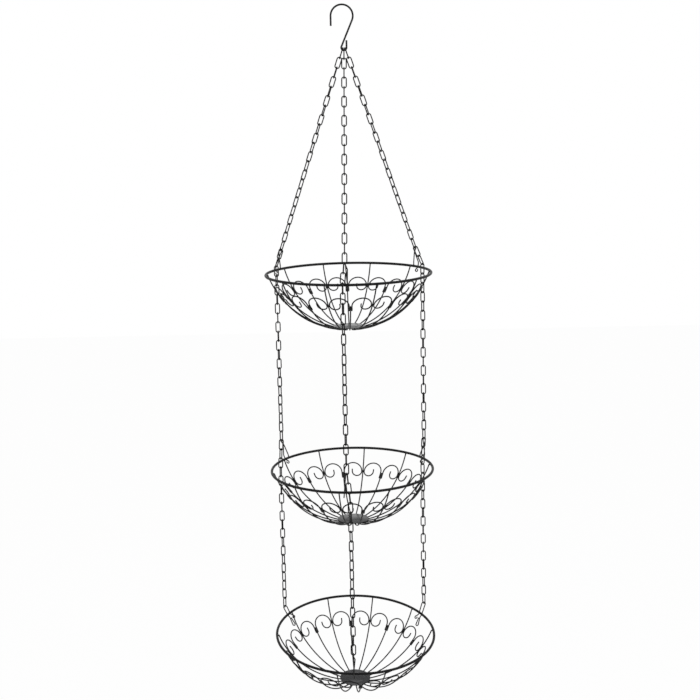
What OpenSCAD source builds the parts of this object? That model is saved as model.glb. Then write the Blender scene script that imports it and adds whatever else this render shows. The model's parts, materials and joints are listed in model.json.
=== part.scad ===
// Three-tier hanging fruit basket of black painted steel wire.
// Millimetres, +Z up, front towards -Y. The origin is the point inside the top of the
// ceiling hook that a support carries, and every tier hangs plumb below it.

/* [Ceiling hook] */
// Wire diameter of the S-shaped ceiling hook
hook_wire = 2.8; // [2.2:0.1:3.4]
// Centreline radius of the large top bend
hook_top_r = 16.6; // [13:0.1:22]
// Centreline radius of the small lower bend
hook_low_r = 4; // [3.7:0.1:5]
// Length of the straight shank between the two bends
hook_shank = 41.5; // [30:0.5:55]
// Lean of the shank away from the vertical, in degrees
hook_lean = 23.4; // [15:0.1:30]
// Straight end of the large bend, past the half circle
hook_tip = 14.4; // [8:0.1:20]
// Straight end of the small bend, pointing up
hook_short_leg = 10.7; // [6:0.1:14]

/* [Chain] */
// Wire diameter of a chain link
link_wire = 1.8; // [1.5:0.1:2]
// Distance from one link to the next along a tight chain
link_pitch = 15.1; // [13.5:0.1:17]
// Outside width of a chain link
link_w = 8.6; // [8.2:0.1:10]
// Links from the ceiling hook to the top basket's clips
upper_links = 22; // [19:1:25]
// Links from the top basket's clips to the middle basket's clips
middle_links = 21; // [19:2:23]
// Links from the middle basket's clips to the bottom basket's clips
lower_links = 19; // [17:2:21]

/* [Baskets] */
// Outside diameter of a basket's rim
rim_d = 260; // [235:1:300]
// Wire diameter of the rim
rim_wire = 4; // [3.4:0.1:4.8]
// Wire diameter of the ribs, stems and scrolls
rib_wire = 2; // [1.6:0.1:2.4]
// Depth from the rim's centreline to the ribs' centreline at the middle of the bowl
bowl_depth = 87; // [72:1:95]
// Straight ribs in a basket, with one scroll stem between each two
rib_count = 10; // [9:1:11]
// Distance along the bowl from the rim down to the middle of the scrolls
scroll_drop = 39; // [36:0.5:46]
// Centreline radius of the small curl that ends a scroll
curl_r = 7.9; // [6:0.1:8.5]
// Straight wire at the end of the curl
curl_tip = 4.4; // [2:0.1:6]
// Straight end of a scroll, welded beside its stem
scroll_foot = 10.4; // [6:0.1:13]
// Diameter of the base plate
plate_d = 50; // [44:0.5:60]
// Thickness of the base plate
plate_t = 1.2; // [0.8:0.1:2]
// Turn of each basket's first rib from +X, for the top, middle and bottom basket
rib_phase = [1.2, 8.4, 4]; // [0:0.1:36]

/* [Clips] */
// Wire diameter of the clips
clip_wire = 1.8; // [1.5:0.1:2]
// Distance from the chain down to the rim in a clip
clip_h = 32; // [28:0.5:36]
// Width of a clip's open end, between its legs' centrelines
clip_w = 9.6; // [8.6:0.1:11]
// Centreline radius of a clip's small loop
clip_loop_r = 2.4; // [2.3:0.05:2.7]
// Centreline radius of the eye that ends a clip
clip_eye_r = 2.15; // [2:0.05:2.5]
// Distance from chain to rim in the bottom basket's front clip
bottom_front_h = 35.5; // [32:0.5:38]
// Distance from chain to rim in its left clip, which is mounted upside down
bottom_left_h = 12; // [11:0.5:18]
// Distance from chain to rim in its right clip, which is mounted upside down
bottom_right_h = 17.5; // [11:0.5:20]

/* [Fits] */
// Free gap between two linked wires
link_gap = 0.3; // [0.25:0.05:0.4]
// Gap between two wires that are welded side by side
weld_gap = 0.1; // [0.05:0.05:0.2]
// How far the top basket's clips lean in towards the hook
top_clip_in = 5; // [0:0.5:8]
// How far a clip's foot stands aside along the rim, away from the chain beside it
clip_aside = 3; // [2:0.5:5]
// How far a chain moves aside along the rim on its way past the top and the middle rim
chain_aside = [2, 4]; // [1.5:0.5:5]
// Free gap between a hanging chain and the rim that it passes
chain_gap = 0.5; // [0.3:0.1:1]

/* [Hidden] */
$fn = 48;
tiers = ["top", "middle", "bottom"];
sides = ["front", "left", "right"];
// Directions of the three chains round the axis, from +X
side_dir = [267.5, 150, 30];
knuckle_share = 1.04;
steel = "#1c1c1d";
plate_grey = "#2b2c2e";

// Ceiling hook: the support touches the inside of the top bend straight above the lower bend
hook_top_from_low = [
    hook_shank * sin(hook_lean) - (hook_top_r + hook_low_r) * cos(hook_lean),
    hook_shank * cos(hook_lean) + (hook_top_r + hook_low_r) * sin(hook_lean)
];
hook_inner_r = hook_top_r - hook_wire / 2;
hook_low_z = -hook_top_from_low.y - sqrt(pow(hook_inner_r, 2) - pow(hook_top_from_low.x, 2));

// Free gap between wires that lie side by side
side_gap = 0.2;

// Chain link: its end arcs have the centreline radius link_arc_r
link_inner = link_pitch + link_gap;
link_arc_r = (link_w - link_wire) / 2;
link_leg = link_inner + link_wire - 2 * link_arc_r;
bend_links = 2;
shoulder_links = 3;

// A clip and the next chain lie side by side in a link, each this far off its middle,
// and they ride up its round end by side_lift
side_step = (link_wire + clip_wire) / 4 + side_gap / 2;
link_free_r = link_arc_r - (link_wire + clip_wire) / 2;
side_lift = link_free_r - sqrt(pow(link_free_r, 2) - pow(side_step, 2));

// The three top links sit side by side in the lower bend, the front one lowest
crown_r = hook_low_r - hook_wire / 2 - link_wire / 2 - side_gap;
crown_turn = 2 * asin((link_wire + side_gap) / 2 / crown_r);
crown_angle = [-90, -90 - crown_turn, -90 + crown_turn];

// Heights of the tiers, from the lengths of the chains
rim_r = (rim_d - rim_wire) / 2;
hang_r = rim_r + rim_wire / 2 + link_w / 2 + chain_gap;
top_apex_r = rim_r - top_clip_in;
upper_drop = sqrt(pow(upper_links * link_pitch, 2) - pow(top_apex_r, 2));
top_apex_z = hook_low_z - crown_r - upper_drop;
top_rim_z = top_apex_z + side_lift
    - sqrt(pow(clip_h, 2) - pow(top_clip_in, 2) - pow(clip_aside, 2));
bend_end_z = top_apex_z + side_lift - sqrt(pow(bend_links * link_pitch, 2)
    - pow(hang_r - top_apex_r, 2) - pow(chain_aside[0], 2));
middle_apex_z = bend_end_z - (middle_links - bend_links) * link_pitch;
middle_rim_z = middle_apex_z + side_lift
    - sqrt(pow(clip_h, 2) - pow(hang_r - rim_r, 2) - pow(clip_aside, 2));
lower_top_z = middle_apex_z + side_lift - sqrt(pow(shoulder_links * link_pitch, 2)
    - pow(chain_aside[1], 2));
bottom_apex_z = lower_top_z - (lower_links - shoulder_links) * link_pitch;

// The bottom basket leans, because its two rear clips hold it closer to the chains
bottom_tilt_x = asin((bottom_front_h - (bottom_left_h + bottom_right_h) / 2) / (1.5 * rim_r));
bottom_tilt_y = asin((bottom_right_h - bottom_left_h) / (2 * rim_r * sin(60)));
bottom_rim_z = bottom_apex_z - bottom_front_h + rim_r * sin(bottom_tilt_x);
rim_z = [top_rim_z, middle_rim_z, bottom_rim_z];
tilt = [[0, 0, 0], [0, 0, 0], [bottom_tilt_x, bottom_tilt_y, 0]];

// Bowl: the ribs lie on a sphere that passes just inside the rim
rib_top_r = rim_r - (rim_wire + rib_wire) / 2 - weld_gap;
bowl_r = (pow(rib_top_r, 2) + pow(bowl_depth, 2)) / (2 * bowl_depth);
bowl_centre_z = bowl_r - bowl_depth;
rib_top_angle = -asin(bowl_centre_z / bowl_r);
rib_end_r = 12;
rib_end_angle = -acos(rib_end_r / bowl_r);
scroll_angle = rib_top_angle - scroll_drop / bowl_r * 180 / PI;
scroll_lat_r = bowl_r * cos(scroll_angle);
half_step = 90 / rib_count;
// Lean of a rib against the middle line of the scroll beside it
rib_lean = atan(-sin(scroll_angle) * tan(half_step));
rib_from_middle = scroll_lat_r * tan(half_step);
scroll_r = (rib_from_middle - rib_wire - weld_gap) * cos(rib_lean);
stem_top = scroll_r * sin(rib_lean);
stem_end_angle = scroll_angle - stem_top / bowl_r * 180 / PI;
// The scrolls lie flat, this far outside the bowl's sphere at their middle
scroll_out = 0.4;
plate_z = bowl_centre_z - sqrt(pow(bowl_r, 2) - pow(plate_d / 2, 2)) + rib_wire / 2 + side_gap;

// Directions and points of the chains
function at_side(i, r, z) = [r * cos(side_dir[i]), r * sin(side_dir[i]), z];
function tangent(i) = [-sin(side_dir[i]), cos(side_dir[i]), 0];
// The front link leans with its chain, so it is placed from the hook's wire under it
function crown_point(i) =
    let (wire = [0, 0, hook_low_z - hook_low_r],
        pull = at_side(0, top_apex_r, top_apex_z) - wire)
    i == 0 ? wire - (hook_low_r - crown_r) * pull / norm(pull)
    : [crown_r * cos(crown_angle[i]), 0, hook_low_z + crown_r * sin(crown_angle[i])];
function basket_point(t, p) =
    let (a = tilt[t].x, b = tilt[t].y,
        q = [p.x, p.y * cos(a) - p.z * sin(a), p.y * sin(a) + p.z * cos(a)])
    [q.x * cos(b) + q.z * sin(b), q.y, -q.x * sin(b) + q.z * cos(b) + rim_z[t]];
// The next chain leaves to one side of a clip, the other way in each tier,
// and stands this far from the middle of its side when it hangs free
next_way = [-1, 1];
chain_off = [0, -side_step - chain_aside[0], chain_aside[1] - chain_aside[0]];
function chain_end(t, i) =
    at_side(i, t == 0 ? top_apex_r : hang_r, [top_apex_z, middle_apex_z, bottom_apex_z][t])
    + chain_off[t] * tangent(i);
function chain_start(t, i) =
    chain_end(t - 1, i) + next_way[t - 1] * side_step * tangent(i) + [0, 0, side_lift];
// Where a chain's bent upper part ends and the straight part begins
function bend_end(t, i) =
    at_side(i, hang_r, t == 1 ? bend_end_z : lower_top_z) + chain_off[t] * tangent(i);
function clip_apex(t, i) = chain_end(t, i)
    + (t < 2 ? [0, 0, side_lift] - next_way[t] * side_step * tangent(i) : [0, 0, 0]);
function clip_foot(t, i) =
    let (off = chain_off[t] - (t < 2 ? next_way[t] * (side_step + clip_aside) : 0),
        f = basket_point(t, at_side(i, rim_r, 0)))
    f + (off - f * tangent(i)) * tangent(i);
// Turn of a link about its chain, so that the last link lies along the rim
upper_twist = [0, 60 / (upper_links - 1), -60 / (upper_links - 1)];
middle_twist = 90 / (middle_links - 1);
lower_twist = 90 / (lower_links - 1);

// Places the children at point a, with their +Z towards point b
module towards(a, b) {
    v = b - a;
    translate(a) rotate([0, acos(v.z / norm(v)), atan2(v.y, v.x)]) children();
}

module rod(a, b, d) {
    towards(a, b) cylinder(d = d, h = norm(b - a));
}

// Round wire bent to an arc in the XY plane, from angle a0 on by sweep
module arc(r, a0, sweep, d) {
    rotate([0, 0, sweep > 0 ? a0 : a0 + sweep])
        rotate_extrude(angle = abs(sweep)) translate([r, 0]) circle(d = d);
}

// Ball that joins two stretches of a scroll, a little thicker than the wire
module knuckle(p, d) {
    translate(p) sphere(d = d * knuckle_share);
}

// Points along a round bend in the XY plane, and along a corner at p that is rounded
// over the length t on its way from a to b
function arc_points(c, r, from, sweep, steps) =
    [for (k = [0:steps]) let (a = from + sweep * k / steps) [c.x + r * cos(a), c.y + r * sin(a), 0]];
function corner(a, p, b, t) =
    let (u = t * (a - p) / norm(a - p), v = t * (b - p) / norm(b - p))
    [for (s = [0:3]) p + (pow(3 - s, 2) * u + pow(s, 2) * v) / 9];

// Direction of a wire at point k of its path, and a direction across it that does not twist
function heading(path, k) =
    let (v = path[min(k + 1, len(path) - 1)] - path[max(k - 1, 0)]) v / norm(v);
function across(path, k) =
    let (h = heading(path, k), n = k == 0 ? [0, 0, 1] : across(path, k - 1), w = n - (n * h) * h)
    w / norm(w);

// Round wire along a path of points
module swept_wire(path, d, flats) {
    last = len(path) - 1;
    points = [for (k = [0:last]) let (n = across(path, k), b = cross(heading(path, k), n))
        for (s = [0:flats - 1]) let (a = s * 360 / flats) path[k] + d / 2 * (cos(a) * n + sin(a) * b)];
    skin = [for (k = [0:last - 1]) for (s = [0:flats - 1])
        let (a = k * flats + s, b = k * flats + (s + 1) % flats)
            for (f = [[a, b + flats, b], [a, a + flats, b + flats]]) f];
    ends = [[for (s = [0:flats - 1]) s], [for (s = [flats - 1:-1:0]) last * flats + s]];
    polyhedron(points, concat(skin, ends));
}

// One link, long along Z and wide along X
module link() {
    rotate([90, 0, 0]) {
        for (s = [0, 180]) rotate([0, 0, s]) {
            translate([0, link_leg / 2, 0]) arc(link_arc_r, 0, 180, link_wire);
            translate([link_arc_r, -link_leg / 2, 0]) rotate([-90, 0, 0])
                cylinder(d = link_wire, h = link_leg);
        }
    }
}

// Links first to last of a straight chain from a down to b that has total links;
// the first link of that chain lies in the direction turn0
module chain(a, b, total, first, last, turn0, twist) {
    up = (a - b) / norm(a - b);
    c = atan2(up.y, up.x);
    for (k = [first:last])
        translate(a + (b - a) * (k - 0.5) / total)
            rotate([0, acos(up.z), c])
                rotate([0, 0, turn0 + (k - 1) * (90 + twist) - c])
                    link();
}

module ceiling_hook() {
    top = [hook_top_from_low.x, hook_low_z + hook_top_from_low.y];
    color(steel) rotate([90, 0, 0])
        swept_wire(concat(
            [[top.x - hook_top_r, top.y - hook_tip, 0]],
            arc_points(top, hook_top_r, 180, -180 - hook_lean, 24),
            arc_points([0, hook_low_z], hook_low_r, 180 - hook_lean, 180 + hook_lean, 20),
            [[hook_low_r, hook_low_z + hook_short_leg, 0]]
        ), hook_wire, 16);
}

module upper_chain(i) {
    a = crown_point(i);
    b = chain_end(0, i);
    d = (b - a) / norm(b - a);
    color(steel) chain(a + d * (link_wire + link_gap) / 2, b, upper_links, 1, upper_links,
        90, upper_twist[i]);
}

// Links first to last of the middle or lower chain; its upper links bend round the rim
module side_chain(t, i, first, last) {
    bend = t == 1 ? bend_links : shoulder_links;
    twist = t == 1 ? middle_twist : lower_twist;
    total = (t == 1 ? middle_links : lower_links) - bend;
    color(steel) {
        if (first <= bend)
            chain(chain_start(t, i), bend_end(t, i), bend, first, min(last, bend),
                side_dir[i], twist);
        if (last > bend)
            chain(bend_end(t, i), chain_end(t, i), total, max(first - bend, 1), last - bend,
                side_dir[i] + bend * (90 + twist), twist);
    }
}

// Frame of a clip: the rim's wire runs through the origin along Z,
// +Y points along the clip to the chain and +X away from the basket's middle
module at_clip(t, i) {
    v = clip_apex(t, i) - clip_foot(t, i);
    translate(clip_foot(t, i)) rotate([0, 0, side_dir[i]]) rotate([90, 0, 0])
        rotate([-asin(v * tangent(i) / norm(v)), 0, -atan2(v * at_side(i, 1, 0), v.z)])
            mirror([0, 0, t == 1 ? 1 : 0]) children();
}

// Clip as mounted on most places: small loop on the chain, legs crossed and spread,
// the outer leg bent round under the rim and ended in an eye
module clip(h) {
    y0 = h + (link_wire + link_gap) / 2 - clip_loop_r;
    hold_r = (rim_wire + clip_wire) / 2 + side_gap;
    loop_open = 20;
    cross_y = y0 - 8;
    leg = clip_w / 2;
    spread_y = 5;
    turn = 60;
    tail = 3.4;
    end_x = clip_loop_r * cos(loop_open);
    end_y = y0 - clip_loop_r * sin(loop_open);
    apart = clip_wire + side_gap;
    cross_z = 2 * apart * end_x / sqrt(4 * pow(end_x, 2) - pow(apart, 2));
    eye = hold_r * [cos(turn), -sin(turn)] - tail * [sin(turn), cos(turn)]
        + clip_eye_r * [cos(turn), -sin(turn)];
    swept_wire(concat(
        arc_points(eye, clip_eye_r, 450 - turn, -270, 11),
        arc_points([0, 0], hold_r, -turn, turn, 4),
        corner([hold_r, 0, 0], [leg, spread_y, 0], [0, cross_y, 0], 2),
        [[0, cross_y, 0]],
        arc_points([0, y0], clip_loop_r, 180 + loop_open, -180 - 2 * loop_open, 10),
        [[0, cross_y, -cross_z]],
        corner([0, cross_y, -cross_z], [-leg, spread_y, 0], [-leg + 0.6, 1, 0], 2),
        [[-leg + 0.6, 1, 0]]
    ), clip_wire, 10);
}

// Clip as mounted upside down: wide end on the chain, small loop hanging inside the bowl
module turned_clip(h) {
    top_r = link_arc_r + side_gap;
    y0 = h + (link_wire + link_gap) / 2 + side_gap - top_r;
    hold = (rim_wire + clip_wire) / 2 + side_gap;
    neck = (clip_wire + link_gap) / 2;
    neck_y = -7;
    low = -19;
    eye = [-neck - 2 * clip_wire - clip_eye_r, neck_y - 0.5];
    eye_top = [eye.x, eye.y + clip_eye_r, 0];
    turn_in = [-hold, -1.5, 0];
    swept_wire(concat(
        arc_points(eye, clip_eye_r, 380, -280, 11),
        corner(eye_top - [1, 0, 0], eye_top, turn_in, 0.4),
        corner(eye_top, turn_in, [-top_r, y0, 0], 1.5),
        arc_points([0, y0], top_r, 180, -180, 9),
        corner([top_r, y0, 0], [hold, -1, 0], [neck, neck_y, 0], 1.5),
        corner([hold, -1, 0], [neck, neck_y, 0], [clip_loop_r, low, 0], 1.5),
        arc_points([0, low], clip_loop_r, 0, -180, 9),
        [[-neck, neck_y - 0.5, 0]]
    ), clip_wire, 10);
}

module rim_clip(t, i) {
    reach = norm(clip_apex(t, i) - clip_foot(t, i));
    color(steel) at_clip(t, i) {
        if (t == 2 && i > 0) turned_clip(reach);
        else clip(reach);
    }
}

module in_basket(t) {
    translate([0, 0, rim_z[t]]) rotate(tilt[t]) rotate([0, 0, rib_phase[t]]) children();
}

module rim(t) {
    color(steel) in_basket(t) rotate_extrude() translate([rim_r, 0]) circle(d = rim_wire);
}

// A wire on the bowl's sphere, in the XZ plane, from one angle up to another
module meridian(from, to) {
    translate([0, 0, bowl_centre_z]) rotate([90, 0, 0]) arc(bowl_r, from, to - from, rib_wire);
}

module ribs(t) {
    color(steel) in_basket(t)
        for (k = [0:rib_count - 1]) rotate([0, 0, k * 360 / rib_count])
            meridian(rib_end_angle, rib_top_angle);
}

// Each stem ends where its two scrolls begin to spread
module stems(t) {
    color(steel) in_basket(t)
        for (k = [0:rib_count - 1]) rotate([0, 0, (k + 0.5) * 360 / rib_count])
            meridian(rib_end_angle, stem_end_angle);
}

// One scroll, flat, with its stem on the -X side and +Y towards the rim
module scroll() {
    side = [cos(rib_lean), -sin(rib_lean)];
    curl = (scroll_r - curl_r) * side;
    turn_in = scroll_r * side;
    tip = [curl.x - curl_r, curl.y];
    foot = [-turn_in.x, turn_in.y];
    arc(scroll_r, -rib_lean, 180 + 2 * rib_lean, rib_wire);
    translate([curl.x, curl.y, 0]) arc(curl_r, -180, 180 - rib_lean, rib_wire);
    rod([tip.x, tip.y, 0], [tip.x, tip.y + curl_tip, 0], rib_wire);
    rod([foot.x, foot.y, 0], [foot.x + scroll_foot * sin(rib_lean),
        foot.y - scroll_foot * cos(rib_lean), 0], rib_wire);
    for (p = [turn_in, tip, foot]) knuckle([p.x, p.y, 0], rib_wire);
}

module scrolls(t, hand) {
    color(steel) in_basket(t)
        for (k = [0:rib_count - 1])
            rotate([0, 0, (k + 0.5) * 360 / rib_count + hand * half_step])
                translate([0, 0, bowl_centre_z]) rotate([0, -scroll_angle, 0])
                    rotate([90, 0, 90]) translate([0, 0, bowl_r + scroll_out])
                        mirror([hand > 0 ? 0 : 1, 0, 0]) scroll();
}

// Pressed disc that lies on the ends of the wires, with a shallow raised step
module base_plate(t) {
    r = plate_d / 2;
    step = 0.6;
    color(plate_grey) in_basket(t) translate([0, 0, plate_z]) rotate_extrude()
        polygon([
            [0, step], [r * 0.56, step], [r * 0.62, 0], [r, 0],
            [r, plate_t], [r * 0.64, plate_t], [r * 0.58, plate_t + step], [0, plate_t + step]
        ]);
}

ceiling_hook();
for (i = [0:2]) {
    upper_chain(i);
    for (t = [1:2]) {
        name = t == 1 ? "middle" : "lower";
        total = t == 1 ? middle_links : lower_links;
        side_chain(t, i, 1, shoulder_links);
        side_chain(t, i, shoulder_links + 1, shoulder_links + 1);
        side_chain(t, i, shoulder_links + 2, total - 1);
        side_chain(t, i, total, total);
    }
}
for (t = [0:2]) {
    for (i = [0:2])
        rim_clip(t, i);
    rim(t);
    ribs(t);
    stems(t);
    scrolls(t, -1);
    scrolls(t, 1);
    base_plate(t);
}
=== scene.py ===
import json
from math import acos, asin, atan, atan2, cos, degrees, pi, radians, sin, sqrt, tan

import bpy
from mathutils import Matrix, Vector


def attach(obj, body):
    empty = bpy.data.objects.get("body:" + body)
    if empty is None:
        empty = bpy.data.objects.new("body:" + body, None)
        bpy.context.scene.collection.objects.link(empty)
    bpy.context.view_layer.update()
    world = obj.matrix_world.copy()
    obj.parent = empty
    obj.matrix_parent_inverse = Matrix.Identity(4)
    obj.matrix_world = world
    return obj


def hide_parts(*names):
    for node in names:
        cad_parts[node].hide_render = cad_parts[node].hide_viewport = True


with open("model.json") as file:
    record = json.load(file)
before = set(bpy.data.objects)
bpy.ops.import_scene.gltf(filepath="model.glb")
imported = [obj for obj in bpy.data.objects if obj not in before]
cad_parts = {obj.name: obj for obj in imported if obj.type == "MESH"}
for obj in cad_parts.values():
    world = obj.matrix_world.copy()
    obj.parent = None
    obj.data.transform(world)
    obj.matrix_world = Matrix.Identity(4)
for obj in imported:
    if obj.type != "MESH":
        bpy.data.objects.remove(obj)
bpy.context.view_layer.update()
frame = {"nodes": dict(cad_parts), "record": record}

MM = 0.001


# ---------------------------------------------------------------- ceiling hook
# The S-shaped ceiling hook: one length of 2.8 mm drawn steel wire, bent cold round two
# pins and painted. The large bend goes over a ceiling eye and the small one carries the
# three chains. Both ends are cut square, with the burr filed off.

HOOK_WIRE = 2.8
HOOK_TOP_R = 16.6
HOOK_LOW_R = 4.0
HOOK_LEAN = 23.4
HOOK_TIP = 14.4
HOOK_SHORT_LEG = 10.7
HOOK_SHANK = 41.5
hook_rise = (HOOK_SHANK * cos(radians(HOOK_LEAN))
             + (HOOK_TOP_R + HOOK_LOW_R) * sin(radians(HOOK_LEAN)))
hook_top_x = (HOOK_SHANK * sin(radians(HOOK_LEAN))
              - (HOOK_TOP_R + HOOK_LOW_R) * cos(radians(HOOK_LEAN)))
HOOK_LOW_Z = -hook_rise - sqrt((HOOK_TOP_R - HOOK_WIRE / 2) ** 2 - hook_top_x ** 2)


def bend(x, y, radius, start, sweep, steps):
    """Points in mm along a round bend in the XY plane, angles in degrees."""
    angles = [radians(start + sweep * k / steps) for k in range(steps + 1)]
    return [Vector((x + radius * cos(a), y + radius * sin(a), 0)) for a in angles]


def finish_mesh(piece, smooth_angle=50):
    """Closes the seams of a piece, turns its faces outwards and smooths its round surfaces."""
    bpy.ops.object.select_all(action="DESELECT")
    piece.select_set(True)
    bpy.context.view_layer.objects.active = piece
    bpy.ops.object.mode_set(mode="EDIT")
    bpy.ops.mesh.select_all(action="SELECT")
    bpy.ops.mesh.remove_doubles(threshold=0.005 * MM)
    bpy.ops.mesh.normals_make_consistent(inside=False)
    bpy.ops.object.mode_set(mode="OBJECT")
    bpy.ops.object.shade_smooth_by_angle(angle=radians(smooth_angle))


def draw_wire(name, path, diameter, roundness, cut=0.25):
    """Round wire drawn along points in mm, its square-cut ends eased by a small bevel."""
    bpy.ops.object.select_all(action="DESELECT")
    bpy.ops.curve.primitive_nurbs_path_add(location=(0, 0, 0))
    piece = bpy.context.object
    piece.name = name
    line = piece.data
    line.splines.clear()
    spline = line.splines.new("POLY")
    spline.points.add(len(path) - 1)
    for point, place in zip(spline.points, path):
        point.co = (place.x * MM, place.y * MM, place.z * MM, 1)
    line.dimensions = "3D"
    line.bevel_depth = diameter / 2 * MM
    line.bevel_resolution = roundness
    line.use_fill_caps = True
    bpy.ops.object.convert(target="MESH")
    finish_mesh(piece)
    eased = piece.modifiers.new("eased_cut", "BEVEL")
    eased.width = cut * MM
    eased.segments = 2
    eased.limit_method = "ANGLE"
    eased.angle_limit = radians(60)
    bpy.ops.object.modifier_apply(modifier=eased.name)
    bpy.ops.object.shade_smooth_by_angle(angle=radians(50))
    return piece


def linear(hexcode):
    """sRGB hex to the linear colour that a shader socket takes."""
    parts = [int(hexcode[k:k + 2], 16) / 255 for k in (1, 3, 5)]
    return tuple(c / 12.92 if c <= 0.04045 else ((c + 0.055) / 1.055) ** 2.4
                 for c in parts) + (1.0,)


def add(tree, kind, settings=None, sockets=None):
    """Adds a shader node with its settings; sockets holds values and links by socket."""
    node = tree.nodes.new(kind)
    for key, value in (settings or {}).items():
        setattr(node, key, value)
    for key, value in (sockets or {}).items():
        if isinstance(value, bpy.types.NodeSocket):
            tree.links.new(value, node.inputs[key])
        else:
            node.inputs[key].default_value = value
    return node


def black_enamel(name, thin, thick, gloss, peel, sheen):
    """Stoving enamel over steel. thin and thick are the colours where the coat is thinner
    and thicker, gloss the range of roughness, peel the (size, depth) of orange peel in mm,
    and sheen how strongly the coat mirrors, where 0.5 is bare resin."""
    paint = bpy.data.materials.new(name)
    paint.use_nodes = True
    tree = paint.node_tree
    tree.nodes.clear()
    place = add(tree, "ShaderNodeTexCoord").outputs["Object"]
    # The coat drains as it dries: clouds about 30 mm across
    cloud = add(tree, "ShaderNodeTexNoise", sockets={
        "Vector": place, "Scale": 1 / (30 * MM), "Detail": 3.0})
    tone = add(tree, "ShaderNodeMix", {"data_type": "RGBA"}, {
        0: cloud.outputs["Fac"], 6: linear(thin), 7: linear(thick)})
    # Dry and wet spray, about 5 mm across, changes the gloss
    spray = add(tree, "ShaderNodeTexNoise", sockets={
        "Vector": place, "Scale": 1 / (5 * MM), "Detail": 2.0})
    rough = add(tree, "ShaderNodeMapRange", sockets={
        "Value": spray.outputs["Fac"], "From Min": 0.3, "From Max": 0.7,
        "To Min": gloss[0], "To Max": gloss[1]})
    # Orange peel
    skin = add(tree, "ShaderNodeTexNoise", sockets={
        "Vector": place, "Scale": 1 / (peel[0] * MM), "Detail": 1.0})
    bump = add(tree, "ShaderNodeBump", sockets={
        "Height": skin.outputs["Fac"], "Strength": 0.4, "Distance": peel[1] * MM})
    shader = add(tree, "ShaderNodeBsdfPrincipled", sockets={
        "Base Color": tone.outputs[2], "Roughness": rough.outputs["Result"],
        "Normal": bump.outputs["Normal"], "IOR": 1.5, "Specular IOR Level": sheen})
    add(tree, "ShaderNodeOutputMaterial", sockets={"Surface": shader.outputs["BSDF"]})
    return paint


def paint_piece(piece, paint):
    """Gives a new piece or a CAD node its finish."""
    if not piece.data.materials:
        piece.data.materials.append(paint)
    for spot in piece.material_slots:
        spot.material = paint


def stand_up(path):
    """Turns a path in the XY plane up into the XZ plane."""
    return [Vector((p.x, 0, p.y)) for p in path]


hook_top_z = HOOK_LOW_Z + hook_rise
hook_path = stand_up(
    [Vector((hook_top_x - HOOK_TOP_R, hook_top_z - HOOK_TIP, 0))]
    + bend(hook_top_x, hook_top_z, HOOK_TOP_R, 180, -180 - HOOK_LEAN, 56)
    + bend(0, HOOK_LOW_Z, HOOK_LOW_R, 180 - HOOK_LEAN, 180 + HOOK_LEAN, 32)
    + [Vector((HOOK_LOW_R, HOOK_LOW_Z + HOOK_SHORT_LEG, 0))])
hook = draw_wire("ceiling_hook_wire", hook_path, HOOK_WIRE, 6)
# Brushed-on gloss enamel: deep black with soft highlights, worn a little matt
hook_paint = black_enamel("gloss_enamel_on_drawn_wire", "#070708", "#101011",
                          (0.30, 0.46), (1.6, 0.03), 0.16)
paint_piece(hook, hook_paint)
paint_piece(frame["nodes"]["ceiling_hook"], hook_paint)
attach(hook, "ceiling")
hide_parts("ceiling_hook")


# ---------------------------------------------------------------------- chains
# Three chains of oval links, each bent from 1.8 mm wire, butted and resistance-welded at
# the middle of one leg, then dipped in black paint. The welds leave a low ring on the leg.

SIDES = ("front", "left", "right")
SIDE_DIR = (267.5, 150, 30)
LINK_WIRE = 1.8
LINK_HALF_W = 3.4
LINK_GAP = 0.3
LINKS = (22, 21, 19)
BENT_LINKS = (0, 2, 3)
UPPER_TWIST = (0, 60, -60)
# Distances from the baskets' axis and heights, in mm. The middle and lower chains start
# SIDE_STEP to one side of a clip, and their first links bend out round the rim.
HANG_R = 134.8
SIDE_STEP = 1.0
# Where each chain's first link rests on the hook's small bend
CROWN = ((0.0407, 0.9313, -62.9538), (-1.4907, 0, -61.4402), (1.4907, 0, -61.4402))
TOP_APEX = (123.0, -371.3636)
BEND_END_Z = -398.7398
MIDDLE_APEX_Z = -685.6398
LOWER_TOP_Z = -730.4112
BOTTOM_APEX_Z = -972.0112
SIDE_LIFT = 0.3510
CHAIN_OFF = (0.0, -3.0, 2.0)
NEXT_WAY = (-1, 1)


def at_side(i, r, z, aside=0.0):
    """Point in mm on chain i's side, aside along the rim."""
    a = radians(SIDE_DIR[i])
    return Vector((r * cos(a) - aside * sin(a), r * sin(a) + aside * cos(a), z))


def chain_foot(t, i):
    """Where chain i ends at tier t's clip."""
    if t == 0:
        return at_side(i, TOP_APEX[0], TOP_APEX[1])
    return at_side(i, HANG_R, (0, MIDDLE_APEX_Z, BOTTOM_APEX_Z)[t], CHAIN_OFF[t])


def lay_links(start, end, total, first, last, turn, twist):
    """Frames of links first to last of a tight chain that has total links."""
    up = (start - end).normalized()
    c = atan2(up.y, up.x)
    for k in range(first, last + 1):
        yield (Matrix.Translation(start + (end - start) * (k - 0.5) / total)
               @ Matrix.Rotation(c, 4, "Z") @ Matrix.Rotation(acos(up.z), 4, "Y")
               @ Matrix.Rotation(radians(turn + (k - 1) * (90 + twist)) - c, 4, "Z"))


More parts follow.
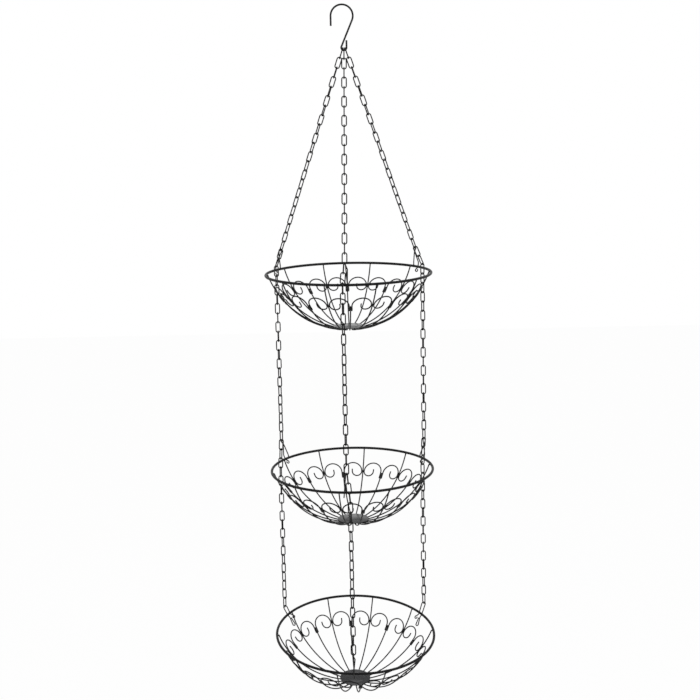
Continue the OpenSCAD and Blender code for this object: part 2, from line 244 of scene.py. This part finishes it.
def links_of(node):
    """Frames of the links that a CAD node holds."""
    i = SIDES.index(node.split("_")[-1])
    if node.startswith("upper"):
        crown, end = Vector(CROWN[i]), chain_foot(0, i)
        crown += (end - crown).normalized() * (LINK_WIRE + LINK_GAP) / 2
        return list(lay_links(crown, end, LINKS[0], 1, LINKS[0], 90,
                              UPPER_TWIST[i] / (LINKS[0] - 1)))
    t = 1 if node.startswith("middle") else 2
    bent, total = BENT_LINKS[t], LINKS[t]
    twist = 90 / (total - 1)
    first, last = {"shoulder": (1, 3), "swing": (4, 4), "chain": (5, total - 1),
                   "end": (total, total)}[node.split("_")[1]]
    start = chain_foot(t - 1, i) + NEXT_WAY[t - 1] * at_side(i, 0, 0, SIDE_STEP)
    start.z += SIDE_LIFT
    knee = at_side(i, HANG_R, BEND_END_Z if t == 1 else LOWER_TOP_Z, CHAIN_OFF[t])
    frames = []
    if first <= bent:
        frames += lay_links(start, knee, bent, first, min(last, bent), SIDE_DIR[i], twist)
    if last > bent:
        frames += lay_links(knee, chain_foot(t, i), total - bent, max(first - bent, 1),
                            last - bent, SIDE_DIR[i] + bent * (90 + twist), twist)
    return frames


def set_out(name, pattern, frames):
    """Copies of one pattern piece, a mesh in mm at the origin, joined into a new piece."""
    copies = []
    for frame_at in frames:
        copy = pattern.copy()
        copy.data = pattern.data.copy()
        bpy.context.collection.objects.link(copy)
        copy.data.transform(Matrix.Scale(MM, 4) @ frame_at)
        copies.append(copy)
    bpy.ops.object.select_all(action="DESELECT")
    for copy in copies:
        copy.select_set(True)
    bpy.context.view_layer.objects.active = copies[0]
    if len(copies) > 1:
        bpy.ops.object.join()
    piece = bpy.context.view_layer.objects.active
    piece.name = name
    return piece


def nugget(name, size, rings, lumps, seed):
    """Pattern for a weld in mm: a ball drawn out to size, with lumps from the heat."""
    bpy.ops.object.select_all(action="DESELECT")
    bpy.ops.mesh.primitive_ico_sphere_add(subdivisions=rings, radius=1, location=(0, 0, 0))
    pattern = bpy.context.object
    pattern.name = name
    bpy.ops.object.mode_set(mode="EDIT")
    bpy.ops.mesh.select_all(action="SELECT")
    bpy.ops.transform.resize(value=size, center_override=(0, 0, 0))
    bpy.ops.transform.vertex_random(offset=lumps, seed=seed, normal=1.0)
    bpy.ops.object.mode_set(mode="OBJECT")
    bpy.ops.object.shade_smooth()
    return pattern


chain_paint = black_enamel("dipped_enamel_on_chain", "#070708", "#111112",
                           (0.32, 0.50), (1.4, 0.04), 0.14)
chain_nodes = [f"upper_chain_{side}" for side in SIDES]
for run in ("middle", "lower"):
    for part in ("shoulder", "swing_link", "chain", "end_link"):
        chain_nodes += [f"{run}_{part}_{side}" for side in SIDES]
body_of = {node: body for body, nodes in frame["record"]["behaviour"]["bodies"].items()
           for node in nodes}
butt_weld = nugget("butt_weld_pattern", (1.03, 1.03, 0.85), 1, 0.03, 3)
for node in chain_nodes:
    paint_piece(frame["nodes"][node], chain_paint)
    legs = [link @ Matrix.Translation((LINK_HALF_W * (1 if k % 2 else -1), 0, 0))
            for k, link in enumerate(links_of(node))]
    welds = set_out(f"{node}_butt_welds", butt_weld, legs)
    paint_piece(welds, chain_paint)
    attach(welds, body_of[node])
bpy.data.objects.remove(butt_weld)


# ----------------------------------------------------------------------- clips
# Nine sprung clips, each one length of 1.8 mm hard-drawn wire bent on a former: a small
# loop, two legs that cross and spread, and an eye at the end so that fingers can pull it.
# Seven hold the chain in the small loop; the bottom basket's left and right ones are
# mounted upside down, with the small loop hanging inside the bowl.

TIERS = ("top", "middle", "bottom")
CLIP_WIRE = 1.8
CLIP_LOOP_R = 2.4
CLIP_EYE_R = 2.15
CLIP_W = 9.6
CLIP_ASIDE = 3.0
SIDE_GAP = 0.2
RIM_R = 128.0
RIM_WIRE = 4.0
RIM_Z = (-402.4769, -716.4138, -993.6786)
BOTTOM_TILT = (6.20424, 1.42154)


def basket_frame(t):
    """Frame of tier t's basket in mm, before its first rib is turned from +X."""
    lean = Matrix.Identity(4)
    if t == 2:
        lean = (Matrix.Rotation(radians(BOTTOM_TILT[1]), 4, "Y")
                @ Matrix.Rotation(radians(BOTTOM_TILT[0]), 4, "X"))
    return Matrix.Translation((0, 0, RIM_Z[t])) @ lean


def ease(path, corner, before, after, reach):
    """Adds a corner to a path, rounded over reach mm on each side."""
    corner, before, after = Vector(corner), Vector(before), Vector(after)
    u = (before - corner).normalized() * reach
    v = (after - corner).normalized() * reach
    path += [corner + ((6 - s) ** 2 * u + s ** 2 * v) / 36 for s in range(7)]


def clip_path(h):
    """Clip of height h with its small loop on the chain; the rim runs through the origin."""
    y0 = h + (LINK_WIRE + LINK_GAP) / 2 - CLIP_LOOP_R
    hold = (RIM_WIRE + CLIP_WIRE) / 2 + SIDE_GAP
    cross_y, spread_y, leg, turn, tail = y0 - 8, 5, CLIP_W / 2, 60, 3.4
    end_x, end_y = CLIP_LOOP_R * cos(radians(20)), y0 - CLIP_LOOP_R * sin(radians(20))
    apart = CLIP_WIRE + SIDE_GAP
    cross_z = 2 * apart * end_x / sqrt(4 * end_x ** 2 - apart ** 2)
    down = Vector((cos(radians(turn)), -sin(radians(turn)), 0))
    back = Vector((sin(radians(turn)), cos(radians(turn)), 0))
    eye = hold * down - tail * back + CLIP_EYE_R * down
    path = bend(eye.x, eye.y, CLIP_EYE_R, 450 - turn, -270, 22)
    path += bend(0, 0, hold, -turn, turn, 8)
    ease(path, (leg, spread_y, 0), (hold, 0, 0), (0, cross_y, 0), 3)
    ease(path, (0, cross_y, 0), (leg, spread_y, 0), (-end_x, end_y, 0), 2)
    path += bend(0, y0, CLIP_LOOP_R, 200, -220, 20)
    path.append(Vector((0, cross_y, -cross_z)))
    ease(path, (-leg, spread_y, 0), (0, cross_y, -cross_z), (-leg + 0.6, 1, 0), 3)
    path.append(Vector((-leg + 0.6, 1, 0)))
    return path


def turned_clip_path(h):
    """Clip of height h mounted upside down, its wide end on the chain."""
    top_r = LINK_HALF_W + SIDE_GAP
    y0 = h + (LINK_WIRE + LINK_GAP) / 2 + SIDE_GAP - top_r
    hold = (RIM_WIRE + CLIP_WIRE) / 2 + SIDE_GAP
    neck, neck_y, low = (CLIP_WIRE + LINK_GAP) / 2, -7, -19
    eye = (-neck - 2 * CLIP_WIRE - CLIP_EYE_R, neck_y - 0.5)
    eye_top = (eye[0], eye[1] + CLIP_EYE_R, 0)
    path = bend(eye[0], eye[1], CLIP_EYE_R, 380, -285, 22)
    ease(path, (-hold, -1.5, 0), eye_top, (-top_r, y0, 0), 1.5)
    path += bend(0, y0, top_r, 180, -180, 20)
    ease(path, (hold, -1, 0), (top_r, y0, 0), (neck, neck_y, 0), 1.5)
    ease(path, (neck, neck_y, 0), (hold, -1, 0), (CLIP_LOOP_R, low, 0), 1.5)
    path += bend(0, low, CLIP_LOOP_R, 0, -180, 18)
    path.append(Vector((-neck, neck_y - 0.5, 0)))
    return path


# Hard-drawn wire keeps a smooth skin, so the paint on it is thin and a little brighter
clip_paint = black_enamel("thin_enamel_on_spring_wire", "#080809", "#121213",
                          (0.28, 0.42), (1.2, 0.02), 0.16)
tier_body = ("upper_tier", "middle_tier", "bottom_tier")
for t, tier in enumerate(TIERS):
    for i, side in enumerate(SIDES):
        along = at_side(i, 0, 0, 1)
        outward = at_side(i, 1, 0)
        apex = chain_foot(t, i)
        off = CHAIN_OFF[t]
        if t < 2:
            apex += Vector((0, 0, SIDE_LIFT)) - NEXT_WAY[t] * SIDE_STEP * along
            off -= NEXT_WAY[t] * (SIDE_STEP + CLIP_ASIDE)
        foot = basket_frame(t) @ at_side(i, RIM_R, 0)
        foot += (off - foot.dot(along)) * along
        reach = apex - foot
        place = (Matrix.Translation(foot) @ Matrix.Rotation(radians(SIDE_DIR[i]), 4, "Z")
                 @ Matrix.Rotation(pi / 2, 4, "X")
                 @ Matrix.Rotation(-atan2(reach.dot(outward), reach.z), 4, "Z")
                 @ Matrix.Rotation(-asin(reach.dot(along) / reach.length), 4, "X"))
        if t == 1:
            place = place @ Matrix.Scale(-1, 4, (0, 0, 1))
        shape = turned_clip_path if t == 2 and i > 0 else clip_path
        path = [place @ p for p in shape(reach.length)]
        clip = draw_wire(f"{tier}_clip_wire_{side}", path, CLIP_WIRE, 4)
        node = f"{tier}_clip_{side}"
        paint_piece(clip, clip_paint)
        paint_piece(frame["nodes"][node], clip_paint)
        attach(clip, body_of[node])
        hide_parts(node)


# ------------------------------------------------------------ rims, ribs, stems
# Each basket's rim is a ring of 4 mm wire. Ten ribs of 2 mm wire run from inside the rim
# down a sphere to the plate, and ten shorter stems stand between them. All are mild steel,
# spot-welded where they meet, and the basket is sprayed satin black as one piece.

wire_paint = black_enamel("satin_enamel_on_mild_steel", "#070708", "#111112",
                          (0.34, 0.52), (1.8, 0.04), 0.12)
for tier in TIERS:
    for part in ("rim", "ribs", "stems"):
        paint_piece(frame["nodes"][f"{tier}_{part}"], wire_paint)


# --------------------------------------------------------------------- scrolls
# Twenty scrolls to a basket, in pairs beside each stem: 2 mm wire bent round a former, a
# wide arch, a tight curl inwards and a short straight tip. They are sprung onto the
# sphere of the ribs before they are welded, so each follows the bowl's curve.

RIB_WIRE = 2.0
BOWL_DEPTH = 87.0
RIBS = 10
WELD_GAP = 0.1
RIB_TOP_R = RIM_R - (RIM_WIRE + RIB_WIRE) / 2 - WELD_GAP
BOWL_R = (RIB_TOP_R ** 2 + BOWL_DEPTH ** 2) / (2 * BOWL_DEPTH)
BOWL_CENTRE = BOWL_R - BOWL_DEPTH
RIB_TOP_ANGLE = -asin(BOWL_CENTRE / BOWL_R)
SCROLL_DROP = 39.0
SCROLL_ANGLE = RIB_TOP_ANGLE - SCROLL_DROP / BOWL_R
RIB_PHASE = (1.2, 8.4, 4.0)
HALF_STEP = pi / 2 / RIBS
CURL_R = 7.9
CURL_TIP = 4.4
SCROLL_FOOT = 10.4
rib_lean = atan(-sin(SCROLL_ANGLE) * tan(HALF_STEP))
scroll_r = ((BOWL_R * cos(SCROLL_ANGLE) * tan(HALF_STEP) - RIB_WIRE - WELD_GAP)
            * cos(rib_lean))


def on_bowl(azimuth, angle, u=0.0, v=0.0, lift=0.0):
    """Point in mm in a basket's own frame, on the sphere of its ribs: u and v are measured
    along and up the bowl from the direction azimuth, angle."""
    out = Vector((cos(angle), 0, sin(angle)))
    rise = Vector((-sin(angle), 0, cos(angle)))
    spot = (BOWL_R * out + u * Vector((0, 1, 0)) + v * rise).normalized() * (BOWL_R + lift)
    return Matrix.Rotation(azimuth, 4, "Z") @ (spot + Vector((0, 0, BOWL_CENTRE)))


def scroll_path(azimuth, hand):
    """One scroll on the bowl, from its straight foot to its tip."""
    side = Vector((cos(rib_lean), -sin(rib_lean), 0))
    foot = Vector((-scroll_r * side.x, scroll_r * side.y, 0))
    low = foot + SCROLL_FOOT * Vector((sin(rib_lean), -cos(rib_lean), 0))
    lean = degrees(rib_lean)
    curl = (scroll_r - CURL_R) * side
    flat = [low, low.lerp(foot, 0.5)]
    flat += bend(0, 0, scroll_r, 180 + lean, -180 - 2 * lean, 34)
    flat += bend(curl.x, curl.y, CURL_R, -lean, lean - 180, 24)[1:]
    flat.append(flat[-1] + Vector((0, CURL_TIP, 0)))
    return [on_bowl(azimuth, SCROLL_ANGLE, hand * p.x, p.y) for p in flat]


for t, tier in enumerate(TIERS):
    basket = basket_frame(t) @ Matrix.Rotation(radians(RIB_PHASE[t]), 4, "Z")
    for hand, name in ((-1, "left"), (1, "right")):
        pattern = draw_wire("scroll_pattern", scroll_path(HALF_STEP * (2 + hand), hand),
                            RIB_WIRE, 4)
        pattern.data.transform(Matrix.Scale(1 / MM, 4))
        turns = [basket @ Matrix.Rotation(2 * pi * k / RIBS, 4, "Z") for k in range(RIBS)]
        scrolls = set_out(f"{tier}_scroll_wires_{name}", pattern, turns)
        bpy.data.objects.remove(pattern)
        node = f"{tier}_scrolls_{name}"
        paint_piece(scrolls, wire_paint)
        paint_piece(frame["nodes"][node], wire_paint)
        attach(scrolls, tier_body[t])
        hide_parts(node)


# ----------------------------------------------------------------------- welds
# Weld nuggets: at each collar, where two scrolls' feet lie beside a stem and the paint has
# filled the grooves, where a scroll touches a rib, and where a rib meets the rim.

STEP = 2 * pi / RIBS
COLLAR_BELOW = 7.3
collar = nugget("collar_pattern", (1.5, 3.3, 4.6), 2, 0.28, 5)
touch = nugget("touch_pattern", (1.15, 1.5, 1.9), 1, 0.12, 8)
rim_weld = nugget("rim_weld_pattern", (1.9, 1.5, 1.7), 1, 0.14, 11)


def facing(azimuth, angle, u=0.0, v=0.0, lift=0.0):
    """Frame at a point of the bowl: X points outwards, Y along the bowl and Z up it."""
    spot = on_bowl(azimuth, angle, u, v, lift)
    out = (spot - Vector((0, 0, BOWL_CENTRE))).normalized()
    along = Vector((0, 0, 1)).cross(out).normalized()
    up = out.cross(along)
    return Matrix.Translation(spot) @ Matrix((out, along, up)).transposed().to_4x4()


# Paint has run into the welds and dried thick: rounder, with a wetter shine
weld_paint = black_enamel("thick_enamel_over_weld", "#060607", "#0e0e0f",
                          (0.28, 0.44), (1.2, 0.06), 0.2)
for t, tier in enumerate(TIERS):
    basket = basket_frame(t) @ Matrix.Rotation(radians(RIB_PHASE[t]), 4, "Z")
    collars, touches, rim_welds = [], [], []
    for k in range(RIBS):
        stem = (k + 0.5) * STEP
        collars.append(basket @ facing(stem, RIB_TOP_ANGLE
                                         - (SCROLL_DROP + COLLAR_BELOW) / BOWL_R)
                       @ Matrix.Rotation(pi * (k % 2), 4, "X"))
        for hand in (-1, 1):
            u = (scroll_r + RIB_WIRE / 2) * cos(rib_lean)
            v = -(scroll_r + RIB_WIRE / 2) * sin(rib_lean)
            touches.append(basket @ facing(stem + hand * HALF_STEP, SCROLL_ANGLE, hand * u, v))
        at_rim = Matrix.Rotation(k * STEP, 4, "Z") @ Matrix.Translation((RIM_R - 2.0, 0, -0.3))
        rim_welds.append(basket @ at_rim)
    for name, pattern, frames in (("collars", collar, collars), ("scroll_welds", touch, touches),
                                  ("rim_welds", rim_weld, rim_welds)):
        welds = set_out(f"{tier}_{name}", pattern, frames)
        paint_piece(welds, weld_paint)
        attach(welds, tier_body[t])
for pattern in (collar, touch, rim_weld):
    bpy.data.objects.remove(pattern)


# ----------------------------------------------------------------- base plates
# A pressed steel disc, 50 mm across, lies on the ends of the wires: a shallow raised
# middle with a soft step, a rolled edge, and a coat of gloss black that shows grey where
# it mirrors the light. It is welded to the wires from below.

PLATE_R = 25.0
PLATE_T = 1.2
PLATE_STEP = 0.6
PLATE_Z = BOWL_CENTRE - sqrt(BOWL_R ** 2 - PLATE_R ** 2) + RIB_WIRE / 2 + SIDE_GAP
plate_profile = [(0.2, PLATE_STEP), (13.6, PLATE_STEP), (14.3, 0.5), (14.9, 0.15), (15.6, 0.0),
                 (24.5, 0.0), (24.85, 0.15), (25.0, 0.45), (25.0, 0.8), (24.8, 1.1),
                 (24.4, PLATE_T), (16.0, PLATE_T), (15.2, 1.32), (14.5, 1.65), (13.9, 1.8),
                 (0.2, PLATE_T + PLATE_STEP)]


def gloss_plate_paint():
    """Gloss stoving enamel on a pressed disc: dark grey where it mirrors the light, with
    fine scuffs from fruit."""
    paint = bpy.data.materials.new("gloss_enamel_on_pressed_plate")
    paint.use_nodes = True
    tree = paint.node_tree
    tree.nodes.clear()
    place = add(tree, "ShaderNodeTexCoord").outputs["Object"]
    cloud = add(tree, "ShaderNodeTexNoise", sockets={
        "Vector": place, "Scale": 1 / (18 * MM), "Detail": 4.0})
    tone = add(tree, "ShaderNodeMix", {"data_type": "RGBA"}, {
        0: cloud.outputs["Fac"], 6: linear("#17181a"), 7: linear("#232427")})
    # Scuffs: thin streaks about 6 mm long and 0.5 mm wide
    stretch = add(tree, "ShaderNodeMapping", sockets={
        "Vector": place, "Rotation": (0, 0, radians(35)),
        "Scale": (1 / (6 * MM), 1 / (0.5 * MM), 1 / (6 * MM))})
    scuff = add(tree, "ShaderNodeTexNoise", sockets={
        "Vector": stretch.outputs["Vector"], "Scale": 1.0, "Detail": 2.0})
    rough = add(tree, "ShaderNodeMapRange", sockets={
        "Value": scuff.outputs["Fac"], "From Min": 0.45, "From Max": 0.75,
        "To Min": 0.16, "To Max": 0.32})
    ripple = add(tree, "ShaderNodeTexNoise", sockets={
        "Vector": place, "Scale": 1 / (3 * MM), "Detail": 1.0})
    bump = add(tree, "ShaderNodeBump", sockets={
        "Height": ripple.outputs["Fac"], "Strength": 0.3, "Distance": 0.04 * MM})
    shader = add(tree, "ShaderNodeBsdfPrincipled", sockets={
        "Base Color": tone.outputs[2], "Roughness": rough.outputs["Result"],
        "Normal": bump.outputs["Normal"], "IOR": 1.5, "Specular IOR Level": 0.22})
    add(tree, "ShaderNodeOutputMaterial", sockets={"Surface": shader.outputs["BSDF"]})
    return paint


plate_paint = gloss_plate_paint()
plate_weld = nugget("plate_weld_pattern", (1.9, 1.5, 0.6), 1, 0.1, 14)
for t, tier in enumerate(TIERS):
    basket = basket_frame(t) @ Matrix.Rotation(radians(RIB_PHASE[t]), 4, "Z")
    bpy.ops.object.select_all(action="DESELECT")
    bpy.ops.mesh.primitive_plane_add(size=1 * MM, location=(0, 0, 0))
    plate = bpy.context.object
    plate.name = f"{tier}_pressed_plate"
    # The plane is cut down to one corner, which is drawn out along the plate's profile
    bpy.ops.object.mode_set(mode="EDIT")
    bpy.ops.mesh.select_all(action="SELECT")
    bpy.ops.mesh.merge(type="CENTER")
    x, z = plate_profile[0]
    bpy.ops.transform.translate(value=(x * MM, 0, z * MM))
    for x2, z2 in plate_profile[1:]:
        bpy.ops.mesh.extrude_region_move(
            TRANSFORM_OT_translate={"value": ((x2 - x) * MM, 0, (z2 - z) * MM)})
        x, z = x2, z2
    bpy.ops.mesh.select_all(action="SELECT")
    bpy.ops.mesh.spin(steps=72, angle=2 * pi, center=(0, 0, 0), axis=(0, 0, 1))
    bpy.ops.mesh.select_all(action="SELECT")
    bpy.ops.mesh.remove_doubles(threshold=0.01 * MM)
    bpy.ops.mesh.select_all(action="DESELECT")
    bpy.ops.mesh.select_non_manifold()
    bpy.ops.mesh.edge_face_add()
    bpy.ops.object.mode_set(mode="OBJECT")
    plate.data.transform(Matrix.Translation((0, 0, PLATE_Z * MM)))
    finish_mesh(plate, 40)
    seat = basket.copy()
    seat.translation = basket.translation * MM
    plate.data.transform(seat)
    node = f"{tier}_base_plate"
    paint_piece(plate, plate_paint)
    paint_piece(frame["nodes"][node], plate_paint)
    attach(plate, tier_body[t])
    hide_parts(node)
    under = [basket @ Matrix.Rotation(k * STEP / 2, 4, "Z")
             @ Matrix.Translation((23.2, 0, PLATE_Z - 0.1)) for k in range(2 * RIBS)]
    welds = set_out(f"{tier}_plate_welds", plate_weld, under)
    paint_piece(welds, weld_paint)
    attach(welds, tier_body[t])
bpy.data.objects.remove(plate_weld)


# ------------------------------------------------------------------ the studio
# A pale floor well below the hanging baskets and a white surround, so that the wires are
# seen against plain white, with two large soft lights in front and one overhead.

FLOOR_Z = -1.75

bpy.ops.object.select_all(action="DESELECT")
bpy.ops.mesh.primitive_plane_add(size=14, location=(0, 0, FLOOR_Z))
floor = bpy.context.object
floor.name = "studio_floor"
floor_paint = bpy.data.materials.new("pale_studio_floor")
floor_paint.use_nodes = True
tree = floor_paint.node_tree
tree.nodes.clear()
seen = add(tree, "ShaderNodeLightPath")
share = add(tree, "ShaderNodeMath", {"operation": "MULTIPLY"},
            {0: seen.outputs["Is Camera Ray"], 1: 0.97})
diffuse = add(tree, "ShaderNodeBsdfDiffuse", sockets={"Color": linear("#f4f4f2")})
white = add(tree, "ShaderNodeEmission", sockets={"Color": (1, 1, 1, 1), "Strength": 1.0})
both = add(tree, "ShaderNodeMixShader", sockets={
    0: share.outputs[0], 1: diffuse.outputs[0], 2: white.outputs[0]})
add(tree, "ShaderNodeOutputMaterial", sockets={"Surface": both.outputs[0]})
floor.data.materials.append(floor_paint)

world = bpy.data.worlds.new("white_surround")
bpy.context.scene.world = world
world.use_nodes = True
tree = world.node_tree
tree.nodes.clear()
seen = add(tree, "ShaderNodeLightPath")
through = add(tree, "ShaderNodeMath", {"operation": "MAXIMUM"},
              {0: seen.outputs["Is Camera Ray"], 1: seen.outputs["Is Transmission Ray"]})
shown = add(tree, "ShaderNodeMath", {"operation": "MAXIMUM"},
            {0: through.outputs[0], 1: seen.outputs["Is Glossy Ray"]})
soft = add(tree, "ShaderNodeBackground", sockets={"Color": (1, 1, 1, 1), "Strength": 0.5})
plain = add(tree, "ShaderNodeBackground", sockets={"Color": (1, 1, 1, 1), "Strength": 1.0})
both = add(tree, "ShaderNodeMixShader", sockets={
    0: shown.outputs[0], 1: soft.outputs[0], 2: plain.outputs[0]})
add(tree, "ShaderNodeOutputWorld", sockets={"Surface": both.outputs[0]})

for name, place, size, power in (
    ("key_softbox", (-1.6, -1.8, 0.4), 1.2, 22),
    ("fill_softbox", (1.9, -1.2, -0.3), 1.2, 12),
    ("overhead_softbox", (0.3, 0.8, 1.1), 1.4, 16),
):
    bpy.ops.object.light_add(type="AREA", location=place)
    lamp = bpy.context.object
    lamp.name = name
    lamp.data.size = size
    lamp.data.energy = power
    lamp.rotation_euler = (Vector((0, 0, -0.55)) - lamp.location).to_track_quat(
        "-Z", "Y").to_euler()


# ------------------------------------------------------------------ the camera
# It stands where the photograph was taken from, found by fitting the three rims, the
# plates and the top of the chains: just below the hook, looking a little down.

PITCH = radians(10.958)
ROLL = radians(1.146)
FOCAL = 1330.127
FRAME_SIDE = 700
CAMERA_AT = (0.0001, -2.045, -0.1275)
forward = Vector((0, cos(PITCH), -sin(PITCH)))
up = Vector((0, sin(PITCH), cos(PITCH)))
right = Vector((1, 0, 0))
image_x = right * cos(ROLL) - up * sin(ROLL)
image_y = right * sin(ROLL) + up * cos(ROLL)
bpy.ops.object.camera_add()
camera = bpy.context.object
camera.name = "photo_camera"
camera.data.sensor_width = 36
camera.data.lens = 36 * FOCAL / FRAME_SIDE
camera.matrix_world = Matrix((
    (image_x.x, image_y.x, -forward.x, CAMERA_AT[0]),
    (image_x.y, image_y.y, -forward.y, CAMERA_AT[1]),
    (image_x.z, image_y.z, -forward.z, CAMERA_AT[2]),
    (0, 0, 0, 1)))
bpy.context.scene.camera = camera
bpy.context.scene.view_settings.view_transform = "Standard"
